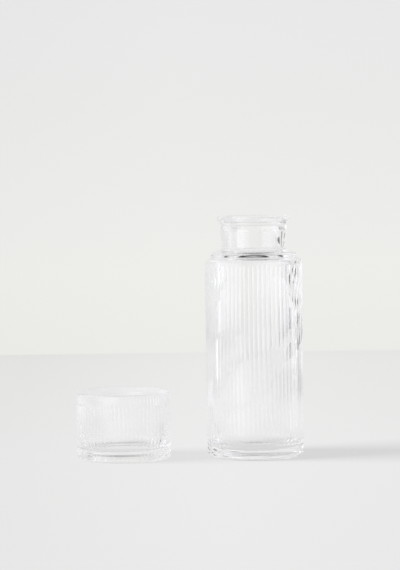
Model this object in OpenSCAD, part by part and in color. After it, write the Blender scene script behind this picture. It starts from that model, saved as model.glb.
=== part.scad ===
// Bedside carafe with a tumbler. Turned over, the tumbler drops over the carafe's lip and neck,
// centres on the collar and rests on the ledge round it, as the carafe's lid.
// Both pieces are clear glass with fine upright ribs. Millimetres, +Z up, origin in the middle
// of the carafe's foot. The tumbler stands beside the carafe, on the -X side.

/* [Carafe body] */
// Height of the carafe to the top of its lip
carafe_h = 202.5; // [150:0.5:260]
// Diameter of the body over the crests of the ribs
body_d = 82; // [74:0.5:100]
// Wall of the body, from the cavity to the valleys between the ribs
body_wall = 3.8; // [2.8:0.1:5]
// Thickness of the carafe's base, from the table to the inside floor
carafe_base_t = 8; // [5:0.5:14]
// Radius of the heel, between the foot and the body's side
heel_r = 4.5; // [2:0.25:7]
// Radius of the shoulder, between the body's side and the ledge
shoulder_r = 3.5; // [2:0.25:5]
// Radius between the inside floor and the wall of the cavity
cavity_floor_r = 8; // [3:0.5:14]
// Width of the foot ring that the carafe stands on
foot_ring_w = 8; // [4:0.5:12]
// Depth of the hollow under the carafe's base
carafe_punt_h = 2; // [1:0.25:4]

/* [Collar, neck and lip] */
// Width of the ledge, from the body's side in to the collar
ledge_w = 4.3; // [3:0.1:6]
// Height of the collar that centres the upturned tumbler, from the ledge to the foot of the neck
collar_h = 8; // [7:0.25:11]
// Slope of the collar's top, down from the neck, in degrees
collar_slope = 20; // [5:1:22]
// Radius on the collar's upper edge
collar_edge_r = 3; // [1.5:0.1:3.2]
// Radius on the collar's lower edge
collar_foot_r = 1.2; // [0.5:0.1:1.5]
// Thickness of the glass between the collar's top and the cavity's ceiling
vault_t = 5.5; // [3.5:0.25:7]
// Bore of the straight throat
throat_d = 47; // [38:0.5:50]
// Radius on the lower edge of the throat
throat_edge_r = 3; // [1:0.25:5]
// Height of the neck, from the top of the collar up to the groove under the lip
neck_h = 20; // [16:0.5:28]
// Wall of the neck at its foot
neck_wall = 2.8; // [2.2:0.1:3.6]
// Radius between the neck and the top of the collar
neck_fillet_r = 2.5; // [0.8:0.1:3]
// How far the outside of the neck widens from its foot to the lip
neck_flare = 2.1; // [1:0.1:3]
// Height of the lip above the groove round its foot
lip_h = 7.25; // [5:0.25:9]
// How far the lip stands out past the top of the neck
lip_overhang = 2.7; // [1.5:0.1:3.5]
// Thickness of the glass at the lip
lip_wall = 3.6; // [2.6:0.1:4.4]
// Radius of the fine groove between the neck and the lip
lip_groove_r = 0.5; // [0.3:0.1:0.8]
// Height over which the throat opens out to the lip
mouth_h = 14; // [9:0.5:18]

/* [Tumbler] */
// Height of the tumbler
tumbler_h = 56.5; // [50:0.5:75]
// Wall of the tumbler at its rim
tumbler_wall = 2; // [1.6:0.1:3]
// Thickness of the tumbler's base, from the table to the inside floor
tumbler_base_t = 9; // [5:0.5:12]
// Radius of the tumbler's heel
tumbler_heel_r = 2.8; // [1:0.1:3.8]
// How much narrower the inside is at the floor than at the rim, on the radius
tumbler_draft = 1.6; // [0.5:0.1:2]
// Radius between the inside floor and the wall of the tumbler
tumbler_floor_r = 4; // [2:0.25:8]
// Width of the foot ring that the tumbler stands on
tumbler_foot_w = 7; // [4:0.5:12]
// Depth of the hollow under the tumbler's base
tumbler_punt_h = 1.4; // [0.75:0.1:3]
// Clearance all round between the collar and the mouth of the upturned tumbler
seat_clearance = 1; // [0.3:0.05:1.5]

/* [Ribs] */
// Height of a rib over the valleys beside it
rib_h = 0.4; // [0.3:0.05:0.8]
// Ribs round the carafe
carafe_ribs = 68; // [48:1:80]
// Ribs round the tumbler
tumbler_ribs = 70; // [48:1:80]
// Share of the rib pitch that a rib's foot takes up
rib_width_share = 0.92; // [0.8:0.01:0.96]
// Height over the table at which the carafe's ribs start
carafe_rib_foot = 11; // [8:0.5:20]
// Plain glass between the tops of the carafe's ribs and its shoulder
carafe_rib_gap = 0.3; // [0.3:0.1:4]
// Height over the table at which the tumbler's ribs start
tumbler_rib_foot = 4.25; // [4:0.25:10]
// Height of the plain band round the tumbler's rim
rim_band_h = 9.5; // [5:0.5:16]

/* [Placing] */
// Gap between the carafe and the tumbler beside it
tumbler_gap = 30.5; // [5:0.5:60]
// How far the tumbler stands nearer the front than the carafe
tumbler_forward = 6; // [0:1:30]

/* [Hidden] */
$fn = 96;
// Straight steps in each arc of the two outlines
arc_steps = 14;
// Thickness of the lip's edge round, as a share of the lip's wall
lip_edge_share = 0.25;

// Radii and heights of the carafe
carafe_r = body_d / 2 - rib_h;
cavity_r = carafe_r - body_wall;
carafe_punt_r = carafe_r - heel_r - foot_ring_w;
collar_r = carafe_r - ledge_w;
lip_foot = carafe_h - lip_h;
collar_top = lip_foot - neck_h;
ledge_h = collar_top - collar_h;
ceiling_h = collar_top - vault_t;
throat_r = throat_d / 2;
vault_r = cavity_r - throat_r - throat_edge_r;
neck_r = throat_r + neck_wall;
neck_top_r = neck_r + neck_flare;
lip_r = neck_top_r + lip_overhang;
lip_edge_r = lip_wall * lip_edge_share;
mouth_r = lip_r - lip_wall;
mouth_foot = carafe_h - mouth_h;
collar_edge_centre = [collar_r - collar_edge_r,
    collar_slope_z(collar_r - collar_edge_r) - collar_edge_r / cos(collar_slope)];
neck_fillet_centre = [neck_r + neck_fillet_r,
    collar_slope_z(neck_r + neck_fillet_r) + neck_fillet_r / cos(collar_slope)];

// Radii and place of the tumbler
tumbler_mouth_r = collar_r + seat_clearance;
tumbler_r = tumbler_mouth_r + tumbler_wall;
rim_round_r = tumbler_wall / 2;
tumbler_floor_edge_r = tumbler_mouth_r - tumbler_draft;
tumbler_punt_r = tumbler_r - tumbler_heel_r - tumbler_foot_w;
tumbler_x = -(body_d / 2 + tumbler_gap + tumbler_r + rib_h);
tumbler_y = -tumbler_forward;

// Height of the collar's sloping top at a radius; it would meet the neck's side at collar_top
function collar_slope_z(r) = collar_top - (r - neck_r) * tan(collar_slope);

// Points along a round stretch of an outline, between two angles
function arc(centre, r, from, to) =
    [for (i = [0:arc_steps])
        let (a = from + (to - from) * i / arc_steps)
        centre + r * [cos(a), sin(a)]];

// A shallow hollow under a base, from the middle out to its edge
function hollow(r, h) =
    let (round_r = (r * r + h * h) / (2 * h))
    arc([0, h - round_r], round_r, 90, atan2(round_r - h, r));

// The lip's outside leans out in a straight line and runs into its rounded edge without a break
function lip_outside() =
    let (edge = [lip_r - lip_edge_r, carafe_h - lip_edge_r])
    let (run = edge - [neck_top_r, lip_foot + lip_groove_r])
    let (lean = atan2(run[1], run[0]) - asin(lip_edge_r / norm(run)))
    arc(edge, lip_edge_r, lean - 90, 90);

// The lip's inside edge, then the mouth narrowing in one sweep to the straight throat
function lip_inside() =
    let (edge = [mouth_r + lip_edge_r, carafe_h - lip_edge_r])
    let (drop = edge[1] - mouth_foot)
    let (reach = edge[0] - throat_r)
    let (sweep_r = (reach * reach + drop * drop - lip_edge_r * lip_edge_r) / (2 * (mouth_r - throat_r)))
    let (lean = asin(drop / (sweep_r - lip_edge_r)))
    concat(
        arc(edge, lip_edge_r, 90, 180 - lean),
        arc([throat_r + sweep_r, mouth_foot], sweep_r, 180 - lean, 180));

// Half of the carafe's section: under the base, up the outside, over the lip and down the inside
carafe_outline = concat(
    hollow(carafe_punt_r, carafe_punt_h),
    arc([carafe_r - heel_r, heel_r], heel_r, -90, 0),
    arc([carafe_r - shoulder_r, ledge_h - shoulder_r], shoulder_r, 0, 90),
    arc([collar_r - collar_foot_r, ledge_h + collar_foot_r], collar_foot_r, -90, 0),
    arc(collar_edge_centre, collar_edge_r, 0, 90 - collar_slope),
    arc(neck_fillet_centre, neck_fillet_r, 270 - collar_slope, 180),
    arc([neck_top_r, lip_foot], lip_groove_r, 270, 90),
    lip_outside(),
    lip_inside(),
    arc([throat_r + throat_edge_r, ceiling_h + throat_edge_r], throat_edge_r, 180, 270),
    arc([cavity_r - vault_r, ceiling_h - vault_r], vault_r, 90, 0),
    arc([cavity_r - cavity_floor_r, carafe_base_t + cavity_floor_r], cavity_floor_r, 0, -90),
    [[0, carafe_base_t]]);

// Half of the tumbler's section, in the same order
tumbler_outline = concat(
    hollow(tumbler_punt_r, tumbler_punt_h),
    arc([tumbler_r - tumbler_heel_r, tumbler_heel_r], tumbler_heel_r, -90, 0),
    arc([tumbler_mouth_r + rim_round_r, tumbler_h - rim_round_r], rim_round_r, 0, 180),
    arc([tumbler_floor_edge_r - tumbler_floor_r, tumbler_base_t + tumbler_floor_r], tumbler_floor_r, 0, -90),
    [[0, tumbler_base_t]]);

// A quarter of a disc, the section of a rib's rounded end
module quarter_disc(r) {
    intersection() {
        circle(r);
        square(r);
    }
}

// The outer slice of a round bar with domed ends, reaching half_a to each side.
// Its straight length starts on z = 0, and the lower dome hangs below that.
module rib(r, straight, half_a) {
    rotate([0, 0, -half_a])
        rotate_extrude(angle = 2 * half_a) {
            square([r, straight]);
            translate([0, straight]) quarter_disc(r);
            mirror([0, 1]) quarter_disc(r);
        }
}

// A ring of ribs on a wall, which rise out of it at the foot and die into it at the top.
// Each slice is a little wider than the rib's foot, so its flanks lie just inside the wall.
module ribs(count, wall_r, foot, top) {
    half_pitch = wall_r * sin(180 / count);
    half_w = half_pitch * rib_width_share;
    rise = wall_r + rib_h - sqrt(wall_r * wall_r - half_w * half_w);
    round_r = (half_w * half_w + rise * rise) / (2 * rise);
    half_a = asin((half_w + half_pitch) / 2 / round_r);
    dome_h = sqrt(2 * round_r * rib_h - rib_h * rib_h);
    for (i = [0:count - 1])
        rotate([0, 0, i * 360 / count])
            translate([wall_r + rib_h - round_r, 0, foot + dome_h])
                rib(round_r, top - foot - 2 * dome_h, half_a);
}

module carafe() {
    color("lightcyan", 0.6)
        union() {
            rotate_extrude() polygon(carafe_outline);
            ribs(carafe_ribs, carafe_r, carafe_rib_foot, ledge_h - shoulder_r - carafe_rib_gap);
        }
}

module tumbler() {
    color("aliceblue", 0.6)
        translate([tumbler_x, tumbler_y, 0])
            union() {
                rotate_extrude() polygon(tumbler_outline);
                ribs(tumbler_ribs, tumbler_r, tumbler_rib_foot, tumbler_h - rim_band_h);
            }
}

carafe();
tumbler();
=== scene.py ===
import math

import bpy
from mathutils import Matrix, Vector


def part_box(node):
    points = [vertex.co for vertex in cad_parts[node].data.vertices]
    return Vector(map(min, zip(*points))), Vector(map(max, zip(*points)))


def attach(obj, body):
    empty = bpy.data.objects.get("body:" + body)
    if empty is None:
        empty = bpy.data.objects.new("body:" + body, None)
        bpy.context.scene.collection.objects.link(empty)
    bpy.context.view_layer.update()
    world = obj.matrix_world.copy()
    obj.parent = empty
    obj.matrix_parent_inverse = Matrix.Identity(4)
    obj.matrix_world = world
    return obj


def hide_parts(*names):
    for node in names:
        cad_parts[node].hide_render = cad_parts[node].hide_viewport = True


# Looks of a bedside carafe and its tumbler, both in clear ribbed glass.
# Sizes in the dictionaries are in millimetres, and meshes are built in metres.
mm = 0.001
standGap = 0.04     # air between a foot ring and the floor
axisR = 0.01        # a ring this small is one point on the axis

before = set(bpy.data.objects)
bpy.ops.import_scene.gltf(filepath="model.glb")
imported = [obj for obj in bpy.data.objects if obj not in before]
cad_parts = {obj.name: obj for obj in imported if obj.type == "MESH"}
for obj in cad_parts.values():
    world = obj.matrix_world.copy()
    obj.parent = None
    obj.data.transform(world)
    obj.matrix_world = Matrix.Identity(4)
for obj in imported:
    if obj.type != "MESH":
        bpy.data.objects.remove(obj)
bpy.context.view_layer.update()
print("frame loaded:", ", ".join(sorted(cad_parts)))


# Camera

view = {
    "place": (-0.0436, -2.199, 0.288),
    "pitch": -3.724,     # degrees, minus looks down
    "roll": 0.7,
    "lens": 165,
}


def makeCamera(v):
    data = bpy.data.cameras.new("camera")
    data.lens = v["lens"]
    camera = bpy.data.objects.new("camera", data)
    camera.location = v["place"]
    camera.rotation_euler = (math.radians(90 + v["pitch"]), math.radians(v["roll"]), 0)
    bpy.context.scene.collection.objects.link(camera)
    bpy.context.scene.camera = camera


makeCamera(view)
print("camera set")


# Profiles: half sections as (radius, height) points, from under the base over the lip to the inside

arcStepDeg = 3      # longest step round an arc
arcLeast = 4        # fewest steps on an arc
thinnest = 1e-6     # a shorter stretch is left out


def arcPoints(centre, radius, fromDeg, toDeg):
    steps = max(arcLeast, math.ceil(abs(toDeg - fromDeg) / arcStepDeg))
    points = []
    for i in range(steps + 1):
        a = math.radians(fromDeg + (toDeg - fromDeg) * i / steps)
        points.append((centre[0] + radius * math.cos(a), centre[1] + radius * math.sin(a)))
    return points


def hollowPoints(radius, depth):
    ballR = (radius ** 2 + depth ** 2) / (2 * depth)
    edgeDeg = math.degrees(math.atan2(ballR - depth, radius))
    return arcPoints((0, depth - ballR), ballR, 90, edgeDeg)


def evenPoints(points, step):
    # the same run with a point at every step, so that it can be softened
    even = []
    for (r0, z0), (r1, z1) in zip(points, points[1:]):
        length = math.hypot(r1 - r0, z1 - z0)
        count = max(1, round(length / step))
        for i in range(count if length > thinnest else 0):
            t = i / count
            even.append((r0 + (r1 - r0) * t, z0 + (z1 - z0) * t))
    even.append(points[-1])
    return even


def softPoints(points, reach, step=0.1):
    # rounds every corner a little, as the mould and the fire polish do
    even = evenPoints(points, step)
    span = round(reach / step)
    weights = [math.cos(math.pi * k / (2 * span + 2)) ** 2 for k in range(-span, span + 1)]
    total = sum(weights)
    soft = []
    for i in range(len(even)):
        if i < span or i >= len(even) - span:
            soft.append(even[i])
            continue
        near = even[i - span:i + span + 1]
        soft.append(tuple(sum(w * p[axis] for w, p in zip(weights, near)) / total for axis in (0, 1)))
    return soft


def thinPoints(points, turnDeg, longest):
    # keeps a point where the run has turned enough or has gone far enough
    kept = [points[0]]
    turned = 0
    gone = 0
    for before, here, after in zip(points, points[1:], points[2:]):
        inWay = math.atan2(here[1] - before[1], here[0] - before[0])
        outWay = math.atan2(after[1] - here[1], after[0] - here[0])
        turned += abs(math.degrees(math.remainder(outWay - inWay, 2 * math.pi)))
        gone += math.dist(before, here)
        if turned >= turnDeg or gone >= longest:
            kept.append(here)
            turned = 0
            gone = 0
    kept.append(points[-1])
    return kept


def ribRows(foot, top, domeH, rowGap):
    # heights of the rings up a ribbed wall: close together where the ribs rise and die away
    endRows = 12
    ends = [domeH * (1 - math.cos(math.pi / 2 * i / endRows)) for i in range(endRows + 1)]
    middle = top - foot - 2 * domeH
    count = round(middle / rowGap)
    rows = [foot + e for e in ends]
    rows += [foot + domeH + middle * i / count for i in range(1, count)]
    rows += [top - e for e in reversed(ends)]
    return rows


class Ribs:
    # upright bars side by side round a wall, with broad crests, narrow valleys and domed ends
    # places of the points in half pitches from a crest, closest together in the valley
    stepShares = (0, 0.3, 0.56, 0.75, 0.88, 0.96, 1, 1.04, 1.12, 1.25, 1.44, 1.7)

    def __init__(self, v, top):
        self.count = v["ribs"]
        self.height = v["ribH"]
        self.flat = v["ribFlat"]
        self.domeH = v["ribDomeH"]
        self.soften = v["ribSoften"]
        self.foot = v["ribFoot"]
        self.top = top

    def angles(self):
        halfPitch = math.pi / self.count
        return [halfPitch * (2 * i + s) for i in range(self.count) for s in self.stepShares]

    def lift(self, angle, z):
        halfPitch = math.pi / self.count
        off = abs(math.remainder(angle, 2 * halfPitch)) / halfPitch
        past = max(self.foot + self.domeH - z, z - self.top + self.domeH, 0) / self.domeH
        rise = self.height * (1 - off ** self.flat - past ** 2)
        softMost = (self.height + math.hypot(self.height, self.soften)) / 2
        return self.height * (rise + math.hypot(rise, self.soften)) / 2 / softMost


def wave(angle, z, waves):
    total = 0
    for w in waves:
        total += w["h"] * math.cos(w["turns"] * angle + 2 * math.pi * z / w["length"] + w["phase"])
    return total


def spinMesh(name, rings, place):
    # rings go from the middle of the underside to the middle of the inside floor
    verts = []
    starts = []
    for ring in rings:
        starts.append(len(verts))
        for a in ring["angles"]:
            r = ring["r"] + ring["push"](a, ring["z"])
            z = max(ring["z"], standGap)
            verts.append((place[0] + r * mm * math.cos(a), place[1] + r * mm * math.sin(a), z * mm))
    faces = []
    for (low, high), (i, j) in zip(zip(rings, rings[1:]), zip(starts, starts[1:])):
        n = len(low["angles"])
        m = len(high["angles"])
        if n == m:
            faces += [(i + k, i + (k + 1) % n, j + (k + 1) % n, j + k) for k in range(n)]
        elif n == 1:
            faces += [(i, j + (k + 1) % m, j + k) for k in range(m)]
        elif m == 1:
            faces += [(i + k, i + (k + 1) % n, j) for k in range(n)]
        else:
            faces += stepFaces(i, j, n, m)
    mesh = bpy.data.meshes.new(name)
    mesh.from_pydata(verts, [], faces)
    mesh.validate()
    mesh.shade_smooth()
    piece = bpy.data.objects.new(name, mesh)
    bpy.context.scene.collection.objects.link(piece)
    return piece


def stepFaces(i, j, n, m):
    # between a ring and one with a whole number of times as many points
    faces = []
    few = min(n, m)
    times = max(n, m) // few
    split = math.ceil(times / 2)
    for k in range(few):
        nextK = (k + 1) % few
        for s in range(times):
            fineA = k * times + s
            fineB = (fineA + 1) % (few * times)
            owner = k if s < split else nextK
            if n < m:
                faces.append((i + owner, j + fineB, j + fineA))
            else:
                faces.append((i + fineA, i + fineB, j + owner))
        middle = k * times + split
        if n < m:
            faces.append((i + k, i + nextK, j + middle))
        else:
            faces.append((i + middle, j + nextK, j + k))
    return faces


def plainPush(angle, z):
    return 0


def evenAngles(count):
    return [2 * math.pi * k / count for k in range(count)]


# Carafe

carafe = {
    "wall": 3.8, "baseT": 8, "heelR": 4.5, "shoulderR": 3.5, "floorR": 8, "footRing": 8, "puntH": 2,
    "ledgeW": 4.3, "collarH": 8, "collarSlope": 20, "collarEdgeR": 3, "collarFootR": 1.2,
    "vaultT": 5.5, "throatD": 47, "throatEdgeR": 3, "swell": 3, "swellH": 55,
    "neckH": 20, "neckWall": 2.8, "neckFilletR": 2.5, "neckFlare": 2.1,
    "lipH": 7.25, "lipOver": 2.7, "lipWall": 3.6, "lipEdgeShare": 0.25, "grooveR": 0.5, "mouthH": 14,
    "ribs": 68, "ribH": 0.35, "ribFlat": 2.3, "ribDomeH": 1.6, "ribSoften": 0.02,
    "ribFoot": 11, "ribGap": 0.3,
    "plainPoints": 408, "rowGap": 20, "soften": 0.4, "turnDeg": 7,
    "footRun": 5, "upperRun": 6,     # longest runs between two rings
    "waveTopFade": 20, "waveFootFade": 15,     # heights over which the waves die away
    "insideWaves": [
        {"h": 0.06, "turns": 3, "length": 61, "phase": 0.4},
        {"h": 0.05, "turns": -5, "length": 37, "phase": 2.1},
        {"h": 0.04, "turns": 7, "length": -29, "phase": 4.0},
        {"h": 0.02, "turns": -11, "length": 23, "phase": 1.3},
    ],
}


def lipPoints(c, lipR, mouthR, throatR, neckTopR, height):
    edgeR = c["lipWall"] * c["lipEdgeShare"]
    outEdge = (lipR - edgeR, height - edgeR)
    runR = outEdge[0] - neckTopR
    runZ = outEdge[1] - (height - c["lipH"] + c["grooveR"])
    lean = math.degrees(math.atan2(runZ, runR) - math.asin(edgeR / math.hypot(runR, runZ)))
    inEdge = (mouthR + edgeR, height - edgeR)
    mouthFoot = height - c["mouthH"]
    drop = inEdge[1] - mouthFoot
    reach = inEdge[0] - throatR
    sweepR = (reach ** 2 + drop ** 2 - edgeR ** 2) / (2 * (mouthR - throatR))
    inLean = math.degrees(math.asin(drop / (sweepR - edgeR)))
    return (
        arcPoints(outEdge, edgeR, lean - 90, 90)
        + arcPoints(inEdge, edgeR, 90, 180 - inLean)
        + arcPoints((throatR + sweepR, mouthFoot), sweepR, 180 - inLean, 180)
    )


def carafeRings(c):
    low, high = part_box("carafe")
    height = high.z / mm
    wallR = (high.x - low.x) / 2 / mm - c["ribH"]
    cavityR = wallR - c["wall"]
    collarR = wallR - c["ledgeW"]
    lipFoot = height - c["lipH"]
    collarTop = lipFoot - c["neckH"]
    ledgeZ = collarTop - c["collarH"]
    ceilingZ = collarTop - c["vaultT"]
    throatR = c["throatD"] / 2
    vaultR = cavityR - throatR - c["throatEdgeR"]
    neckR = throatR + c["neckWall"]
    neckTopR = neckR + c["neckFlare"]
    lipR = neckTopR + c["lipOver"]
    collarFoot = collarR - c["collarFootR"]
    collarEdge = collarR - c["collarEdgeR"]
    filletR = neckR + c["neckFilletR"]
    slope = math.radians(c["collarSlope"])
    edgeZ = collarTop - (collarEdge - neckR) * math.tan(slope) - c["collarEdgeR"] / math.cos(slope)
    filletZ = collarTop - (filletR - neckR) * math.tan(slope) + c["neckFilletR"] / math.cos(slope)
    ribTop = ledgeZ - c["shoulderR"] - c["ribGap"]
    ribs = Ribs(c, ribTop)

    foot = (
        hollowPoints(wallR - c["heelR"] - c["footRing"], c["puntH"])
        + arcPoints((wallR - c["heelR"], c["heelR"]), c["heelR"], -90, 0)
        + [(wallR, c["ribFoot"] - c["ribSoften"])]
    )
    shoulder = (
        [(wallR, ribTop + c["ribSoften"])]
        + arcPoints((wallR - c["shoulderR"], ledgeZ - c["shoulderR"]), c["shoulderR"], 0, 90)
        + arcPoints((collarFoot, ledgeZ + c["collarFootR"]), c["collarFootR"], -90, 0)
        + arcPoints((collarEdge, edgeZ), c["collarEdgeR"], 0, 90 - c["collarSlope"])
        + arcPoints((filletR, filletZ), c["neckFilletR"], 270 - c["collarSlope"], 180)
        + arcPoints((neckTopR, lipFoot), c["grooveR"], 270, 90)
    )
    lip = lipPoints(c, lipR, lipR - c["lipWall"], throatR, neckTopR, height)
    inside = (
        arcPoints((throatR + c["throatEdgeR"], ceilingZ + c["throatEdgeR"]), c["throatEdgeR"], 180, 270)
        + arcPoints((cavityR - vaultR, ceilingZ - vaultR), vaultR, 90, 0)
        + arcPoints((cavityR - c["floorR"], c["baseT"] + c["floorR"]), c["floorR"], 0, -90)
        + [(0, c["baseT"])]
    )

    def insidePush(angle, z):
        # the glass swells inwards under the shoulder, and the blown inside is a little wavy
        up = max(0, z - ribTop + c["swellH"]) / c["swellH"]
        swell = c["swell"] * up ** 2 * min(1, (ceilingZ - z) / vaultR)
        topFade = min(1, max(0, (ceilingZ - z) / c["waveTopFade"]))
        footFade = min(1, max(0, (z - c["baseT"]) / c["waveFootFade"]))
        return topFade * footFade * wave(angle, z, c["insideWaves"]) - swell

    fine = ribs.angles()
    plain = evenAngles(c["plainPoints"])
    rings = []
    for r, z in thinPoints(softPoints(foot, c["soften"]), c["turnDeg"], c["footRun"]):
        rings.append({"r": r, "z": z, "angles": plain if r > axisR else [0], "push": plainPush})
    for z in ribRows(c["ribFoot"], ribTop, ribs.domeH, c["rowGap"]):
        rings.append({"r": wallR, "z": z, "angles": fine, "push": ribs.lift})
    upper = thinPoints(softPoints(shoulder + lip + inside, c["soften"]), c["turnDeg"], c["upperRun"])
    pastLip = False
    for r, z in upper:
        pastLip = pastLip or z > height - c["lipWall"] / 2
        push = insidePush if pastLip and z < ceilingZ and r > c["floorR"] else plainPush
        rings.append({"r": r, "z": z, "angles": plain if r > axisR else [0], "push": push})
    return rings


# Tumbler

tumbler = {
    "wall": 2, "baseT": 9, "heelR": 2.8, "draft": 1.6, "floorR": 4, "footW": 7, "puntH": 1.4,
    "ribs": 70, "ribH": 0.3, "ribFlat": 2.3, "ribDomeH": 1.6, "ribSoften": 0.02, "ribFoot": 4.25,
    "rimBandH": 9.5, "insideSlack": 0.1,
    "plainPoints": 420, "rowGap": 20, "soften": 0.4, "turnDeg": 6,
    "footRun": 5, "upperRun": 4,
    "waveRimGap": 6, "waveTopFade": 10, "waveFootFade": 8,
    "insideWaves": [
        {"h": 0.02, "turns": 3, "length": 47, "phase": 1.0},
        {"h": 0.02, "turns": -6, "length": 31, "phase": 0.2},
    ],
}


def tumblerRings(t):
    low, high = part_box("tumbler")
    height = high.z / mm
    wallR = (high.x - low.x) / 2 / mm - t["ribH"]
    mouthR = wallR - t["wall"]
    rimR = t["wall"] / 2
    floorEdgeR = mouthR - t["draft"]
    ribTop = height - t["rimBandH"]
    ribs = Ribs(t, ribTop)

    foot = (
        hollowPoints(wallR - t["heelR"] - t["footW"], t["puntH"])
        + arcPoints((wallR - t["heelR"], t["heelR"]), t["heelR"], -90, 0)
        + [(wallR, t["ribFoot"] - t["ribSoften"])]
    )
    upper = (
        [(wallR, ribTop + t["ribSoften"])]
        + arcPoints((mouthR + rimR, height - rimR), rimR, 0, 180)
        + arcPoints((floorEdgeR - t["floorR"], t["baseT"] + t["floorR"]), t["floorR"], 0, -90)
        + [(0, t["baseT"])]
    )

    def insidePush(angle, z):
        topFade = min(1, max(0, (height - t["waveRimGap"] - z) / t["waveTopFade"]))
        footFade = min(1, max(0, (z - t["baseT"]) / t["waveFootFade"]))
        return topFade * footFade * wave(angle, z, t["insideWaves"])

    fine = ribs.angles()
    plain = evenAngles(t["plainPoints"])
    rings = []
    for r, z in thinPoints(softPoints(foot, t["soften"]), t["turnDeg"], t["footRun"]):
        rings.append({"r": r, "z": z, "angles": plain if r > axisR else [0], "push": plainPush})
    for z in ribRows(t["ribFoot"], ribTop, ribs.domeH, t["rowGap"]):
        rings.append({"r": wallR, "z": z, "angles": fine, "push": ribs.lift})
    for r, z in thinPoints(softPoints(upper, t["soften"]), t["turnDeg"], t["upperRun"]):
        push = insidePush if t["floorR"] < r < mouthR + t["insideSlack"] else plainPush
        rings.append({"r": r, "z": z, "angles": plain if r > axisR else [0], "push": push})
    return rings


# Clear glass

glassFinish = {
    "tint": (0.994, 0.993, 0.996, 1),
    "ior": 1.5,
    "roughest": 0.004,
    "rippleScale": 60,
    "rippleDetail": 2,
    "rippleStrength": 0.5,
    "rippleH": 0.00001,
    "hazeFrom": 0.45,     # where the ripple is higher than this, the glass starts to be rougher
    "hazeTo": 0.75,
}


def makeGlass(name, g):
    material = bpy.data.materials.new(name)
    material.use_nodes = True
    nodes = material.node_tree.nodes
    links = material.node_tree.links
    shader = nodes["Principled BSDF"]
    shader.inputs["Base Color"].default_value = g["tint"]
    shader.inputs["Transmission Weight"].default_value = 1
    shader.inputs["IOR"].default_value = g["ior"]
    place = nodes.new("ShaderNodeTexCoord")
    ripple = nodes.new("ShaderNodeTexNoise")
    ripple.inputs["Scale"].default_value = g["rippleScale"]
    ripple.inputs["Detail"].default_value = g["rippleDetail"]
    bump = nodes.new("ShaderNodeBump")
    bump.inputs["Strength"].default_value = g["rippleStrength"]
    bump.inputs["Distance"].default_value = g["rippleH"]
    haze = nodes.new("ShaderNodeMapRange")
    haze.inputs["From Min"].default_value = g["hazeFrom"]
    haze.inputs["From Max"].default_value = g["hazeTo"]
    haze.inputs["To Max"].default_value = g["roughest"]
    links.new(place.outputs["Object"], ripple.inputs["Vector"])
    links.new(ripple.outputs["Fac"], bump.inputs["Height"])
    links.new(bump.outputs["Normal"], shader.inputs["Normal"])
    links.new(ripple.outputs["Fac"], haze.inputs["Value"])
    links.new(haze.outputs["Result"], shader.inputs["Roughness"])
    return material


def makeVessel(name, rings, node, glass):
    low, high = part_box(node)
    place = ((low.x + high.x) / 2, (low.y + high.y) / 2)
    piece = spinMesh(name, rings, place)
    piece.data.materials.append(glass)
    piece.visible_diffuse = False     # the floor takes its shadow, and no stray light through the glass
    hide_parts(node)
    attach(piece, node)
    print(name, "made,", len(rings), "rings,", len(piece.data.polygons), "faces")
    return piece


carafeGlass = makeGlass("carafe clear glass", glassFinish)
tumblerGlass = makeGlass("tumbler clear glass", glassFinish)
carafePiece = makeVessel("carafe_vessel", carafeRings(carafe), "carafe", carafeGlass)
makeVessel("tumbler_vessel", tumblerRings(tumbler), "tumbler", tumblerGlass)


# Floor, wall and light

# Levels are (place in metres, level) pairs along one axis of the room.
stage = {
    "floorColour": (0.85, 0.85, 0.845, 1),
    "floorRough": 0.7,
    # painted light and shade on the floor: its glow is a little darker towards the front and back, and
    # darker towards both sides
    "floorPaintedShadeBack": [(-0.6, (0.82, 0.82, 0.822)), (0.0, (0.84, 0.84, 0.842)), (0.95, (0.82, 0.82, 0.814))],
    "floorPaintedLightAcross": [
        (-1.0, 0.73), (-0.25, 0.742), (-0.1, 0.796),
        (-0.03, 0.815), (0.15, 0.796), (1.0, 0.776),
    ],
    # painted shade on the wall's glow, up and across the room
    "wallPaintedShadeUp": [(0.0, (0.84, 0.84, 0.815)), (0.1, (0.858, 0.86, 0.834)), (0.42, (0.81, 0.818, 0.812))],
    "wallPaintedShadeAcross": [(-1.0, 0.95), (-0.28, 0.98), (-0.08, 1.0), (1.0, 0.97)],
    "wallH": 0.7,
    "wallY": 0.965,
    "wallTurn": 0.8,
    "reach": 6,
}

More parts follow.
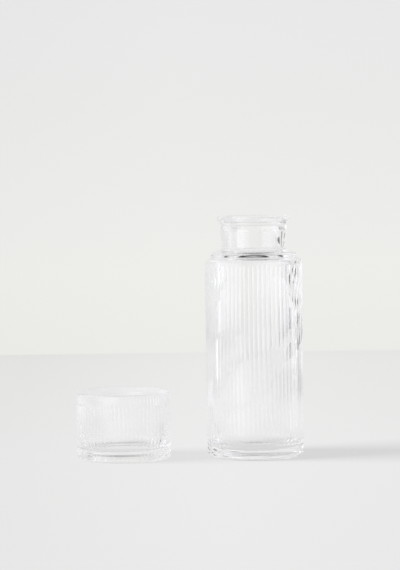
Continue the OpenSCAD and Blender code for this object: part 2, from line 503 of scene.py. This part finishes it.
light = {
    # levels by how steeply a direction points up, from level to straight up
    "sky": [(0.0, 0.9), (0.6, 0.9), (0.8, 0.6), (0.87, 0.28), (0.93, 0.28), (0.97, 0.5), (1.0, 0.5)],
    "keyPlace": (-8, -1, 4.3),
    "keySize": 5,
    "keyGlow": 4.65,
    "keyColour": (1, 0.99, 0.97),
    "thinShare": 0.42,     # how much of the key passes through the thin tumbler
    "bounces": 96,
    # painted reflections: glowing sheets that light nothing and show only in the glass; the bright ones
    # paint the reflections of a window and of lit patches of floor and wall, the dark ones paint shade
    "paintedReflections": [
        # at the sides
        {"name": "left card", "glow": (1.8, 1.83, 1.92), "x": -1.25, "y": (-1.7, 0.5), "z": (0, 1)},
        {"name": "right dark card", "glow": (0.12, 0.12, 0.13), "x": 1.2, "y": (0.5, -0.35), "z": (0, 1)},
        {"name": "right card", "glow": (1.1, 1.1, 1.14), "x": 1.2, "y": (-0.35, -1.4), "z": (0, 1)},
        # before the wall
        {"name": "high dark card", "glow": (0.02, 0.02, 0.02),
         "x": (-0.23, 0.29), "y": 0.92, "z": (0.66, 2)},
        {"name": "rib light card", "glow": (0.98, 0.98, 1), "soft": 0.4,
         "x": (0.15, 0.38), "y": 0.9, "z": (-0.05, 0.3)},
        {"name": "rib side card", "glow": (0.74, 0.74, 0.75), "soft": 0.4,
         "x": (-0.2, -0.015), "y": 0.9, "z": (-0.1, 0.15)},
        {"name": "rib dark card", "glow": (0.3, 0.3, 0.31), "soft": 0.4,
         "x": (0.33, 0.66), "y": 0.9, "z": (-0.1, 0.13)},
        {"name": "edge dark card", "glow": (0.3, 0.3, 0.31), "soft": 0.4,
         "x": (0.78, 1.15), "y": 0.89, "z": (0.06, 0.42)},
        {"name": "left dark card", "glow": (0.74, 0.74, 0.75), "soft": 0.5,
         "x": (-0.85, -0.33), "y": 0.9, "z": (-0.05, 0.2)},
        {"name": "neck dark card", "glow": (0.05, 0.05, 0.05), "soft": 0.3,
         "x": (0.2, 0.4), "y": 0.88, "z": (0.25, 0.33)},
        # on the floor
        {"name": "right floor card", "glow": (0.6, 0.6, 0.61), "soft": 0.5,
         "x": (0.13, 0.75), "y": (0.12, 0.85), "z": 0.002},
        {"name": "left floor card", "glow": (1.3, 1.31, 1.35), "soft": 0.5,
         "x": (-1.2, -0.4), "y": (-0.35, 0.85), "z": 0.002},
        {"name": "low right floor card", "glow": (0.98, 0.98, 1.01), "soft": 0.6,
         "x": (0.12, 0.45), "y": (-0.08, 0.25), "z": 0.0025},
        {"name": "between floor card", "glow": (0.92, 0.92, 0.94), "soft": 0.6,
         "x": (-0.085, 0), "y": (-0.05, 0.9), "z": 0.0025},
        {"name": "tumbler floor card", "glow": (0.95, 0.95, 0.98), "soft": 0.6,
         "x": (-0.36, -0.2), "y": (-0.05, 0.6), "z": 0.0025},
        {"name": "front left floor card", "glow": (2.1, 2.13, 2.22), "soft": 0.5,
         "x": (-0.95, -0.1), "y": (-1.1, -0.12), "z": 0.003},
        {"name": "near floor card", "glow": (1.55, 1.57, 1.63), "soft": 0.6,
         "x": (-0.36, -0.02), "y": (-0.4, -0.06), "z": 0.004},
        {"name": "front right floor card", "glow": (0.3, 0.3, 0.31), "soft": 0.5,
         "x": (0.12, 0.95), "y": (-1.1, -0.12), "z": 0.003},
    ],
}


def makeSheet(name, corners, material):
    mesh = bpy.data.meshes.new(name)
    mesh.from_pydata(corners, [], [tuple(range(len(corners)))])
    sheet = bpy.data.objects.new(name, mesh)
    sheet.data.materials.append(material)
    bpy.context.scene.collection.objects.link(sheet)
    return sheet


def levelRamp(tree, axis, levels, space="Object"):
    # a level or colour that changes along one axis of the room
    first = levels[0][0]
    last = levels[-1][0]
    place = tree.nodes.new("ShaderNodeTexCoord")
    axes = tree.nodes.new("ShaderNodeSeparateXYZ")
    along = tree.nodes.new("ShaderNodeMapRange")
    along.inputs["From Min"].default_value = first
    along.inputs["From Max"].default_value = last
    ramp = tree.nodes.new("ShaderNodeValToRGB")
    stops = ramp.color_ramp.elements
    while len(stops) < len(levels):
        stops.new(1)
    for stop, (spot, level) in zip(stops, levels):
        stop.position = (spot - first) / (last - first)
        stop.color = [*level, 1] if isinstance(level, tuple) else [level, level, level, 1]
    tree.links.new(place.outputs[space], axes.inputs["Vector"])
    tree.links.new(axes.outputs[axis], along.inputs["Value"])
    tree.links.new(along.outputs["Result"], ramp.inputs["Fac"])
    return ramp.outputs["Color"]


def makeFloor(s):
    # most of its tone is a glow of its own, painted light that is a little darker towards the front and
    # back and darker towards both sides, most to the left, and the key light adds the rest and the
    # shadows
    material = bpy.data.materials.new("pale floor")
    material.use_nodes = True
    tree = material.node_tree
    shader = tree.nodes["Principled BSDF"]
    shader.inputs["Base Color"].default_value = s["floorColour"]
    shader.inputs["Roughness"].default_value = s["floorRough"]
    shader.inputs["Specular IOR Level"].default_value = 0
    material.cycles.emission_sampling = "NONE"     # keeps grain out of the glass
    # painted light and shade: the glow's colour changes from front to back and its strength across the
    # room
    tree.links.new(levelRamp(tree, "Y", s["floorPaintedShadeBack"]), shader.inputs["Emission Color"])
    tree.links.new(levelRamp(tree, "X", s["floorPaintedLightAcross"]), shader.inputs["Emission Strength"])
    far = s["reach"]
    makeSheet("floor", [(-far, -far, 0), (far, -far, 0), (far, far, 0), (-far, far, 0)], material)


def makeGlow(name):
    # a sheet that glows on its front and isn't there from behind
    material = bpy.data.materials.new(name)
    material.use_nodes = True
    nodes = material.node_tree.nodes
    links = material.node_tree.links
    nodes.remove(nodes["Principled BSDF"])
    material.cycles.emission_sampling = "NONE"
    glow = nodes.new("ShaderNodeEmission")
    clear = nodes.new("ShaderNodeBsdfTransparent")
    side = nodes.new("ShaderNodeNewGeometry")
    choose = nodes.new("ShaderNodeMixShader")
    links.new(side.outputs["Backfacing"], choose.inputs["Fac"])
    links.new(glow.outputs["Emission"], choose.inputs[1])
    links.new(clear.outputs["BSDF"], choose.inputs[2])
    links.new(choose.outputs["Shader"], nodes["Material Output"].inputs["Surface"])
    return material, glow


def makeWall(s):
    material, glow = makeGlow("pale wall")
    tree = material.node_tree
    # painted shade on the backdrop: its glow is darker at the foot and towards the top, a little warmer
    # low down, and darker towards both sides
    tree.links.new(levelRamp(tree, "Z", s["wallPaintedShadeUp"]), glow.inputs["Color"])
    tree.links.new(levelRamp(tree, "X", s["wallPaintedShadeAcross"]), glow.inputs["Strength"])
    slope = math.tan(math.radians(s["wallTurn"]))
    far = s["reach"]
    top = s["wallH"]
    left = s["wallY"] - slope * far
    right = s["wallY"] + slope * far
    corners = [(-far, left, 0), (far, right, 0), (far, right, top), (-far, left, top)]
    wall = makeSheet("wall", corners, material)
    wall.visible_diffuse = False


def softenEdges(material, middle, half, share):
    # fades a sheet out towards its edges, in an oval
    nodes = material.node_tree.nodes
    links = material.node_tree.links
    place = nodes.new("ShaderNodeTexCoord")
    fit = nodes.new("ShaderNodeMapping")
    fit.inputs["Scale"].default_value = [1 / h if h else 0 for h in half]
    fit.inputs["Location"].default_value = [-m / h if h else 0 for m, h in zip(middle, half)]
    oval = nodes.new("ShaderNodeTexGradient")
    oval.gradient_type = "SPHERICAL"
    fade = nodes.new("ShaderNodeMapRange")
    fade.interpolation_type = "SMOOTHSTEP"
    fade.inputs["From Max"].default_value = share
    clear = nodes.new("ShaderNodeBsdfTransparent")
    choose = nodes.new("ShaderNodeMixShader")
    output = nodes["Material Output"].inputs["Surface"]
    links.new(place.outputs["Object"], fit.inputs["Vector"])
    links.new(fit.outputs["Vector"], oval.inputs["Vector"])
    links.new(oval.outputs["Fac"], fade.inputs["Value"])
    links.new(fade.outputs["Result"], choose.inputs["Fac"])
    links.new(clear.outputs["BSDF"], choose.inputs[1])
    links.new(output.links[0].from_socket, choose.inputs[2])
    links.new(choose.outputs["Shader"], output)


def makePaintedReflection(c):
    # a painted reflection: a glowing sheet that lights nothing and shows only in the glass, by reflection
    # and refraction
    material, glow = makeGlow(c["name"])
    glow.inputs["Color"].default_value = (*c["glow"], 1)
    spans = [s if isinstance(s, tuple) else (s, s) for s in (c["x"], c["y"], c["z"])]
    (x0, x1), (y0, y1), (low, high) = spans
    corners = [(x0, y0, low), (x1, y1, low), (x1, y1, high), (x0, y0, high)]
    if low == high:     # lies on the floor
        corners = [(x0, y0, low), (x1, y0, low), (x1, y1, low), (x0, y1, low)]
    card = makeSheet(c["name"], corners, material)
    if "soft" in c:
        middle = [(a + b) / 2 for a, b in spans]
        half = [(b - a) / 2 for a, b in spans]
        softenEdges(material, middle, half, c["soft"])
    card.visible_camera = False
    card.visible_diffuse = False
    card.visible_shadow = False


def makeKey(p, name, share):
    data = bpy.data.lights.new(name, "AREA")
    data.size = p["keySize"]
    data.color = p["keyColour"]
    data.energy = share * p["keyGlow"] * math.pi * p["keySize"] ** 2
    key = bpy.data.objects.new(name, data)
    key.location = p["keyPlace"]
    key.rotation_euler = (-key.location).to_track_quat("-Z", "Y").to_euler()
    key.visible_camera = False
    key.visible_glossy = False
    key.visible_transmission = False
    bpy.context.scene.collection.objects.link(key)
    return key


def makeLight(p, thickPiece):
    world = bpy.data.worlds.new("pale room")
    world.use_nodes = True
    tree = world.node_tree
    tree.links.new(levelRamp(tree, "Z", p["sky"], "Generated"), tree.nodes["Background"].inputs["Color"])
    world.cycles_visibility.diffuse = False
    world.cycles.sampling_method = "NONE"
    bpy.context.scene.world = world
    # the painted reflections round the glass
    for card in p["paintedReflections"]:
        makePaintedReflection(card)
    makeKey(p, "key", 1 - p["thinShare"])
    thinKey = makeKey(p, "key through the tumbler", p["thinShare"])
    blockers = bpy.data.collections.new("thick glass")
    blockers.objects.link(thickPiece)
    thinKey.light_linking.blocker_collection = blockers


makeFloor(stage)
makeWall(stage)
makeLight(light, carafePiece)
scene = bpy.context.scene
scene.view_settings.view_transform = "Standard"
scene.cycles.max_bounces = light["bounces"]
scene.cycles.glossy_bounces = light["bounces"]
scene.cycles.transmission_bounces = light["bounces"]
scene.cycles.blur_glossy = 0
scene.cycles.denoising_input_passes = "RGB"
print("stage and light set")
